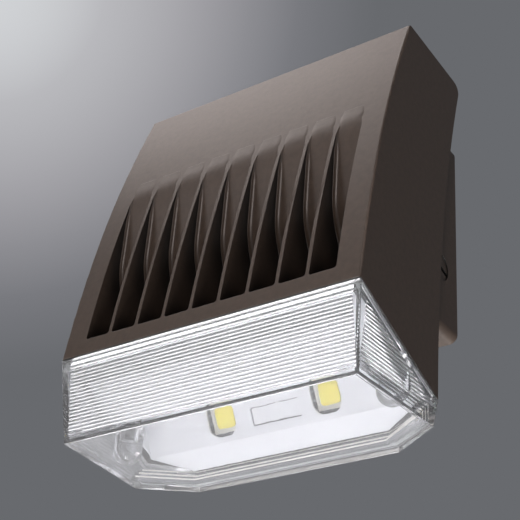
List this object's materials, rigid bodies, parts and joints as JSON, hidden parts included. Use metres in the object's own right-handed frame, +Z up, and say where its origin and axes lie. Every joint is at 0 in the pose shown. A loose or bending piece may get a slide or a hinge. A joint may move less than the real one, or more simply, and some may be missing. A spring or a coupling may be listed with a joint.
{
  "type": "wall pack light",
  "caption": "Outdoor wall light: a louvered cast door with a clear prismatic lens and LED chamber, hinged on a flat back box that fixes over a junction box.",
  "frame": {"origin": "on the wall, at the centre of the back box's back face", "axes": "+Z up, +X to the right for someone facing the light, the light stands out towards -Y"},
  "size_m": [0.168, 0.108, 0.2155],
  "materials": {
    "bronze_casting": "die-cast, dark bronze fine-textured powder coat",
    "stainless": "stainless steel, turned",
    "earth_green": "green-dyed zinc-plated steel",
    "black_rubber": "moulded EPDM, matt",
    "grey_silicone": "extruded silicone, matt",
    "black_foam": "closed-cell foam, matt",
    "clear_lens": "clear injection-moulded polycarbonate, polished",
    "white_sheet": "folded sheet, white reflector paint, matt",
    "white_board": "metal-core board, white solder mask",
    "led_ceramic": "white ceramic package",
    "phosphor": "yellow phosphor silicone, satin",
    "white_nylon": "moulded nylon",
    "thermal_grey": "gap-filler pad, matt",
    "driver_black": "potted driver case, black",
    "lead_white": "silicone-insulated two-core lead",
    "lead_black": "stranded wire, black insulation",
    "lead_neutral": "stranded wire, white insulation",
    "lead_green": "stranded wire, green insulation",
    "clear_orange": "moulded connector body"
  },
  "bodies": {
    "back_box": {"back_box": "bronze_casting", "wall_gasket": "black_foam", "rim_gasket": "grey_silicone", "entry_plugs": "bronze_casting", "ground_screw": "earth_green"},
    "door": {"door_housing": "bronze_casting", "hinge_pins": "stainless", "lens": "clear_lens", "lens_gasket": "grey_silicone", "reflector": "white_sheet", "led_board": "white_board", "led_packages": "led_ceramic", "led_phosphors": "phosphor", "board_connector": "white_nylon", "thermal_pad": "thermal_grey", "board_screws": "stainless", "driver_case": "driver_black", "driver_lid": "driver_black", "driver_screws": "stainless", "led_lead": "lead_white", "wire_grommet": "black_rubber", "supply_lead_line": "lead_black", "supply_lead_neutral": "lead_neutral", "supply_lead_ground": "lead_green", "push_in_connectors": "clear_orange"},
    "door_screw": {"door_screw": "stainless", "door_screw_seal": "black_rubber", "door_screw_retainer": "stainless"}
  },
  "joints": [
    {"name": "door_hinge", "type": "hinge", "parent": "back_box", "child": "door", "pos_m": [-0.0795, -0.02, 0], "axis": [0, 0, -1], "range_deg": [0, 95]},
    {"name": "door_screw_slide", "type": "slide", "parent": "door", "child": "door_screw", "axis": [0, -1, 0], "range_m": [0, 0.0055]}
  ]
}
